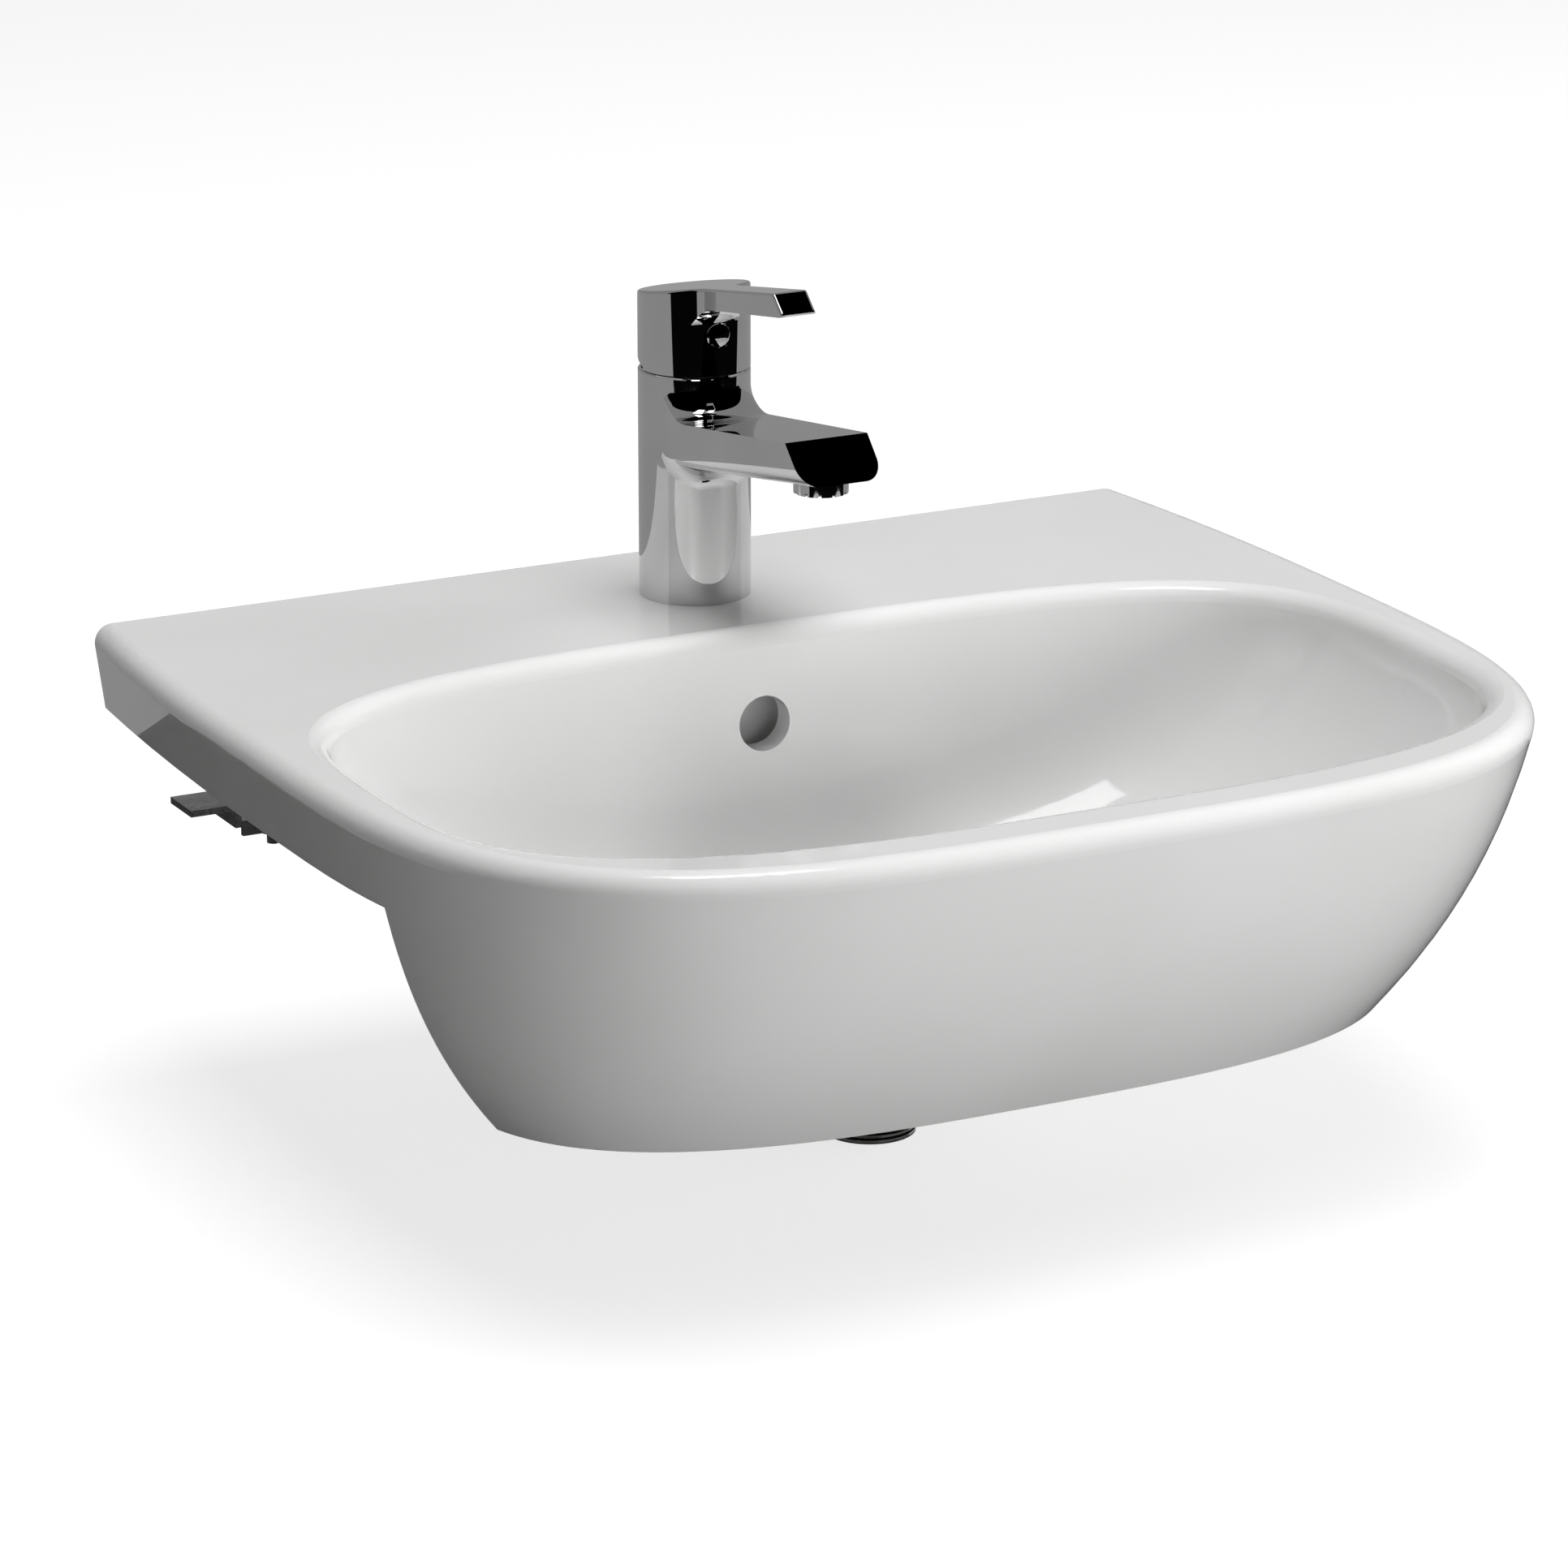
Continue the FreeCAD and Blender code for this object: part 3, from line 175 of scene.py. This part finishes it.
def seen_directly(tree):
    """A mask that is one where the camera, a reflection or a refraction looks."""
    path = add_node(tree, "ShaderNodeLightPath")
    first = add_node(tree, "ShaderNodeMath", operation="MAXIMUM")
    join(tree, path.outputs["Is Camera Ray"], first.inputs[0])
    join(tree, path.outputs["Is Glossy Ray"], first.inputs[1])
    second = add_node(tree, "ShaderNodeMath", operation="MAXIMUM")
    join(tree, first.outputs[0], second.inputs[0])
    join(tree, path.outputs["Is Transmission Ray"], second.inputs[1])
    return second.outputs[0]


def grey(tone):
    """A neutral colour."""
    return (tone, tone, tone)


def floor_finish():
    """Pale matt paint that looks white where it is lit."""
    paint = (*grey(FLOOR_PAINT), 1)
    material, tree, shader = new_finish("floor_paint", Base_Color=paint, Roughness=0.9)
    shader.inputs["Emission Color"].default_value = (1, 1, 1, 1)
    lift = add_node(tree, "ShaderNodeMath", operation="MULTIPLY")
    lift.inputs[1].default_value = FLOOR_LIFT
    join(tree, seen_directly(tree), lift.inputs[0])
    join(tree, lift.outputs[0], shader.inputs["Emission Strength"])
    return material


def add_floor():
    """The floor that the shadow falls on."""
    bpy.ops.mesh.primitive_plane_add(size=FLOOR_SIZE, location=(0, 0, FLOOR_LEVEL))
    floor = bpy.context.object
    floor.name = "floor"
    floor.data.materials.append(floor_finish())
    floor.visible_glossy = False


def cloth_finish(name, tone):
    """A cloth that shows one even grey and neither lights nor shades the object."""
    material, tree, shader = new_finish(name, Base_Color=(0, 0, 0, 1), Roughness=1.0)
    shader.inputs["Specular IOR Level"].default_value = 0.0
    shader.inputs["Emission Color"].default_value = (*grey(tone), 1)
    shader.inputs["Emission Strength"].default_value = 1.0
    return material


def add_cloth(name, place, size, tone):
    """A hung cloth: a thin box that only reflections see."""
    bpy.ops.mesh.primitive_cube_add(size=1, location=place)
    cloth = bpy.context.object
    cloth.name = name
    cloth.scale = size
    cloth.data.materials.append(cloth_finish(name, tone))
    for ray in ("camera", "diffuse", "transmission", "volume_scatter", "shadow"):
        setattr(cloth, "visible_" + ray, False)


bpy.ops.object.select_all(action="DESELECT")
add_floor()
add_cloth("cloth_room", (0, 0, 0), (ROOM_SIZE, ROOM_SIZE, ROOM_SIZE), ROOM_TONE)
front_size = (ROOM_SIZE, FLAG_THICKNESS, ROOM_SIZE)
add_cloth("front_flag", (0, FRONT_FLAG_Y, 0), front_size, FRONT_FLAG_TONE)
floor_size = (ROOM_SIZE, ROOM_SIZE, FLAG_THICKNESS)
add_cloth("floor_flag", (0, 0, FLOOR_LEVEL - FLAG_THICKNESS), floor_size, FLOOR_FLAG_TONE)
board_x = BOARD_SIDE_START + BOARD_LENGTH / 2
board_y = BOARD_FRONT_START + BOARD_LENGTH / 2
side_size = (BOARD_LENGTH, BOARD_LENGTH, BOARD_THICKNESS)
add_cloth("left_board", (-board_x, board_y, BOARD_LEVEL), side_size, BOARD_TONE)
add_cloth("right_board", (board_x, board_y, BOARD_LEVEL), side_size, BOARD_TONE)
rear_y = BOARD_REAR_START + BOARD_LENGTH / 2
rear_size = (2 * BOARD_SIDE_START, BOARD_LENGTH, BOARD_THICKNESS)
add_cloth("rear_board", (0, rear_y, BOARD_LEVEL), rear_size, BOARD_TONE)
print("stage: floor at", FLOOR_LEVEL)

# %% [markdown]
# ## The light
# Broad soft panels light the basin from above and, low down, from the front and the front right,
# and so leave the left flank in shade. Weak ones on the right and behind keep the edges clear.
# The panels don't show in the glaze: a white card overhead makes the bright patch in the bowl.


# %% Lights
LIGHT_AIM = Vector((0, -0.2, 0))
LIGHT_SIZE = 2.0
CARD_PLACE = (0.1, -0.5, 2.5)
CARD_SIZE = (1.0, 0.7, 0.01)
CARD_TONE = 4.0
SHADE_FILL = 0.03
# each light's place in metres, and its power in watts
LIGHTS = {
    "top_light": ((0, -0.2, 3.0), 82.0),
    "front_light": ((0.4, -3.2, -0.1), 56.0),
    "front_right_light": ((1.9, -2.5, -0.1), 61.0),
    "fill_light": ((1.6, -2.6, 1.3), 4.0),
    "right_light": ((2.9, 0, 1.0), 31.0),
    "rear_light": ((0.3, 1.9, 2.3), 6.0),
}


def add_light(name, place, power):
    """A square soft panel that is turned to the basin."""
    data = bpy.data.lights.new(name, "AREA")
    data.size = LIGHT_SIZE
    data.energy = power
    light = bpy.data.objects.new(name, data)
    light.location = place
    light.rotation_euler = (LIGHT_AIM - Vector(place)).to_track_quat("-Z", "Y").to_euler()
    light.visible_glossy = False
    bpy.context.scene.collection.objects.link(light)


for name, (place, power) in LIGHTS.items():
    add_light(name, place, power)
add_cloth("overhead_card", CARD_PLACE, CARD_SIZE, CARD_TONE)


def add_world():
    """An even white surround, weaker where it only fills the shade."""
    world = bpy.data.worlds.new("surround")
    world.use_nodes = True
    bpy.context.scene.world = world
    tree = world.node_tree
    sky = tree.nodes["Background"]
    sky.inputs["Color"].default_value = (1, 1, 1, 1)
    blend = add_node(tree, "ShaderNodeMapRange")
    blend.inputs["To Min"].default_value = SHADE_FILL
    blend.inputs["To Max"].default_value = 1.0
    join(tree, seen_directly(tree), blend.inputs["Value"])
    join(tree, blend.outputs["Result"], sky.inputs["Strength"])


add_world()
print("lights:", list(LIGHTS))

# %% [markdown]
# ## What all finishes share
# No real surface is perfectly even. One group gives every finish a soft mottle and a fine grain
# from noise in the piece's own coordinates: a number to steer roughness with, and a height.


# %% Grain group
NOISE_LOW = 0.3
NOISE_HIGH = 0.7


def make_grain():
    """Soft mottle between two values, and a height for bump, both from noise on the piece."""
    inputs = [
        ("Size", "Float", 0.01),
        ("Low", "Float", 0.0),
        ("High", "Float", 1.0),
        ("Detail", "Float", 3.0),
    ]
    group, start, end = new_group("grain", inputs, [("Value", "Float"), ("Height", "Float")])
    place = add_node(group, "ShaderNodeTexCoord")
    scale = add_node(group, "ShaderNodeMath", operation="DIVIDE")
    scale.inputs[0].default_value = 1.0
    join(group, start.outputs["Size"], scale.inputs[1])
    noise = add_node(group, "ShaderNodeTexNoise")
    join(group, place.outputs["Object"], noise.inputs["Vector"])
    join(group, scale.outputs[0], noise.inputs["Scale"])
    join(group, start.outputs["Detail"], noise.inputs["Detail"])
    spread = add_node(group, "ShaderNodeMapRange")
    spread.inputs["From Min"].default_value = NOISE_LOW
    spread.inputs["From Max"].default_value = NOISE_HIGH
    join(group, noise.outputs["Fac"], spread.inputs["Value"])
    join(group, start.outputs["Low"], spread.inputs["To Min"])
    join(group, start.outputs["High"], spread.inputs["To Max"])
    join(group, spread.outputs["Result"], end.inputs["Value"])
    join(group, noise.outputs["Fac"], end.inputs["Height"])
    return group


grain = make_grain()


def add_bump(tree, shader, height, distance, strength=1.0):
    """A bump in the shader's normal from a height."""
    bump = add_node(tree, "ShaderNodeBump", Distance=distance, Strength=strength)
    join(tree, height, bump.inputs["Height"])
    join(tree, bump.outputs["Normal"], shader.inputs["Normal"])


def add_tone(tree, shader, value, dark, light):
    """A colour that drifts between two tones with a value."""
    tone = add_node(tree, "ShaderNodeMix", data_type="RGBA")
    tone.inputs["A"].default_value = (*dark, 1)
    tone.inputs["B"].default_value = (*light, 1)
    join(tree, value, tone.inputs["Factor"])
    join(tree, tone.outputs["Result"], shader.inputs["Base Color"])
    return tone


print("grain group ready")

# %% [markdown]
# ## Glazed ceramic
# Fired ware is dense white clay under a thin clear glass. The glaze pools and flows in the kiln,
# so its reflections waver a little: a very low, wide bump does that. The foot's underside is
# wiped free of glaze before firing, so that it doesn't stick to the kiln shelf, and stays matt.


# %% Ceramic
GLAZE_DARK = (0.79, 0.79, 0.785)
GLAZE_LIGHT = (0.83, 0.83, 0.828)
BISCUIT = (0.72, 0.69, 0.64)
FOOT_LEVEL = -0.1046
GLAZE = {"IOR": 1.5, "Coat_Weight": 0.5, "Coat_Roughness": 0.02}
# the sizes of the drift in tone, of the change in polish and of the waves in the glaze
DRIFT_SIZE = 0.12
POLISH_SIZE = 0.03
WAVE_SIZE = 0.05
POLISH = (0.07, 0.1)
WAVE_DEPTH = 0.0012
WAVE_STRENGTH = 0.25


def ceramic_finish():
    """White clay with a clear glaze, bare under the foot."""
    material, tree, shader = new_finish("glazed_ceramic", **GLAZE)
    drift = use_group(tree, grain, Size=DRIFT_SIZE, Detail=1.0)
    tone = add_tone(tree, shader, drift.outputs["Value"], GLAZE_DARK, GLAZE_LIGHT)
    place = add_node(tree, "ShaderNodeTexCoord")
    split = add_node(tree, "ShaderNodeSeparateXYZ")
    join(tree, place.outputs["Object"], split.inputs[0])
    foot = add_node(tree, "ShaderNodeMath", operation="LESS_THAN")
    foot.inputs[1].default_value = FOOT_LEVEL
    join(tree, split.outputs["Z"], foot.inputs[0])
    bare = add_node(tree, "ShaderNodeMix", data_type="RGBA")
    bare.inputs["B"].default_value = (*BISCUIT, 1)
    join(tree, foot.outputs[0], bare.inputs["Factor"])
    join(tree, tone.outputs["Result"], bare.inputs["A"])
    join(tree, bare.outputs["Result"], shader.inputs["Base Color"])
    rough = use_group(tree, grain, Size=POLISH_SIZE, Low=POLISH[0], High=POLISH[1], Detail=2.0)
    matt = add_node(tree, "ShaderNodeMath", operation="MAXIMUM")
    join(tree, foot.outputs[0], matt.inputs[0])
    join(tree, rough.outputs["Value"], matt.inputs[1])
    join(tree, matt.outputs[0], shader.inputs["Roughness"])
    flow = use_group(tree, grain, Size=WAVE_SIZE, Detail=1.0)
    add_bump(tree, shader, flow.outputs["Height"], WAVE_DEPTH, WAVE_STRENGTH)
    return material


ceramic = ceramic_finish()
print("finish:", ceramic.name)

# %% [markdown]
# ## Metals, plastics and rubber
# Chrome is a mirror: only a trace of handling haze breaks it. Turned brass and drawn steel keep
# fine tool lines, so their grain is finer and deeper. Plastics and rubber are dull, with the
# faint texture of their moulds.


# %% Other finishes
MOTTLE = 8
HAZE = 3
# each finish: dark tone, light tone, how metallic, range of roughness, grain size, grain depth
FINISHES = {
    "chrome": (grey(0.6), grey(0.64), 1.0, (0.02, 0.045), 0.004, 0.000002),
    "steel": (grey(0.42), grey(0.55), 0.7, (0.25, 0.4), 0.0008, 0.00001),
    "brass": ((0.5, 0.34, 0.12), (0.66, 0.47, 0.2), 1.0, (0.22, 0.38), 0.0008, 0.00001),
    "white_plastic": (grey(0.74), grey(0.8), 0.0, (0.4, 0.5), 0.0006, 0.00002),
    "grey_plastic": (grey(0.14), grey(0.18), 0.0, (0.4, 0.55), 0.0006, 0.00002),
    "disc_ceramic": ((0.75, 0.72, 0.66), (0.82, 0.79, 0.72), 0.0, (0.15, 0.25), 0.0005, 0.000005),
    "black_rubber": (grey(0.012), grey(0.022), 0.0, (0.55, 0.75), 0.0006, 0.00004),
}


def plain_finish(name, dark, light, metal, rough, size, depth):
    """A finish with two tones, a range of roughness and a grain of one size and depth."""
    material, tree, shader = new_finish(name, Metallic=metal)
    value = use_group(tree, grain, Size=size * MOTTLE, Detail=3.0)
    add_tone(tree, shader, value.outputs["Value"], dark, light)
    haze = use_group(tree, grain, Size=size * HAZE, Low=rough[0], High=rough[1], Detail=4.0)
    join(tree, haze.outputs["Value"], shader.inputs["Roughness"])
    fine = use_group(tree, grain, Size=size, Detail=2.0)
    add_bump(tree, shader, fine.outputs["Height"], depth)
    return material


finishes = {"ware": ceramic}
for name, settings in FINISHES.items():
    finishes[name] = plain_finish(name, *settings)


def dress(piece, slot):
    """The piece takes the finish of a material slot."""
    piece.data.materials.clear()
    piece.data.materials.append(finishes[slot])


for part in frame["record"]["subparts"]:
    dress(nodes[part["node"]], part["material_slot"])

# %% [markdown]
# ## Screw threads
# The stud, the clamp rods and the waste's tail carry screw threads. Ridges that run round the
# upright axis are a wave in the height: half a pitch up, half a pitch down. It goes into the bump
# at its real size, and only below the level where each thread starts.


# %% Threads
WHOLE_PIECE = 1.0
# each threaded piece: its finish, the pitch in millimetres and the thread's top in metres
THREADS = {
    "fixing_stud": ("steel", 1.25, WHOLE_PIECE),
    "clamp_rods": ("steel", 1.0, WHOLE_PIECE),
    "waste_body": ("chrome", 2.3, -0.108),
}


def threaded_finish(name, slot, pitch, top):
    """A copy of a finish with ridges of one pitch below a level."""
    material = finishes[slot].copy()
    material.name = name + "_thread"
    tree = material.node_tree
    shader = tree.nodes["Principled BSDF"]
    place = add_node(tree, "ShaderNodeTexCoord")
    split = add_node(tree, "ShaderNodeSeparateXYZ")
    join(tree, place.outputs["Object"], split.inputs[0])
    wave = add_node(tree, "ShaderNodeMath", operation="PINGPONG")
    wave.inputs[1].default_value = pitch * MM / 2
    join(tree, split.outputs["Z"], wave.inputs[0])
    below = add_node(tree, "ShaderNodeMath", operation="LESS_THAN")
    below.inputs[1].default_value = top
    join(tree, split.outputs["Z"], below.inputs[0])
    ridge = add_node(tree, "ShaderNodeMath", operation="MULTIPLY")
    join(tree, wave.outputs[0], ridge.inputs[0])
    join(tree, below.outputs[0], ridge.inputs[1])
    bump = add_node(tree, "ShaderNodeBump", Distance=1.0)
    join(tree, ridge.outputs[0], bump.inputs["Height"])
    join(tree, shader.inputs["Normal"].links[0].from_socket, bump.inputs["Normal"])
    join(tree, bump.outputs["Normal"], shader.inputs["Normal"])
    return material


for name, (slot, pitch, top) in THREADS.items():
    nodes[name].data.materials[0] = threaded_finish(name, slot, pitch, top)
print("threads on", list(THREADS))

# %% [markdown]
# ## The index button
# The solid model's button is a flat disc. The real one is a small dome on a straight barrel, so
# it catches the whole room at once. We make both round, as wide as the solid one and no deeper.

# %% Index button
BUTTON_DOME = 1.4 * MM
BUTTON_SIDES = 96
DOME_RINGS = 48
RIM_ANGLE = math.radians(40)
FACING_FRONT = (math.radians(90), 0, 0)

button_low, button_high = (Vector(corner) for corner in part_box("index_plug"))
button_radius = (button_high.x - button_low.x) / 2
button_middle = (button_low + button_high) / 2
rim_y = button_low.y + BUTTON_DOME


def add_button():
    """A barrel and a half sunk lens, joined into one piece."""
    barrel_depth = button_high.y - rim_y
    bpy.ops.object.select_all(action="DESELECT")
    bpy.ops.mesh.primitive_cylinder_add(
        vertices=BUTTON_SIDES,
        radius=button_radius,
        depth=barrel_depth,
        location=(button_middle.x, rim_y + barrel_depth / 2, button_middle.z),
        rotation=FACING_FRONT,
    )
    barrel = bpy.context.object
    bpy.ops.mesh.primitive_uv_sphere_add(
        segments=BUTTON_SIDES,
        ring_count=DOME_RINGS,
        radius=button_radius,
        location=(button_middle.x, rim_y, button_middle.z),
        rotation=FACING_FRONT,
    )
    lens = bpy.context.object
    lens.scale.z = BUTTON_DOME / button_radius
    barrel.select_set(True)
    lens.select_set(True)
    bpy.context.view_layer.objects.active = barrel
    bpy.ops.object.join()
    bpy.ops.object.transform_apply(location=True, rotation=True, scale=True)
    bpy.ops.object.shade_smooth_by_angle(angle=RIM_ANGLE)
    barrel.name = "index_button"
    return barrel


button = add_button()
dress(button, "chrome")
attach(button, "lever")
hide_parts("index_plug")
print("button radius", round(button_radius / MM, 2), "mm, faces", len(button.data.polygons))
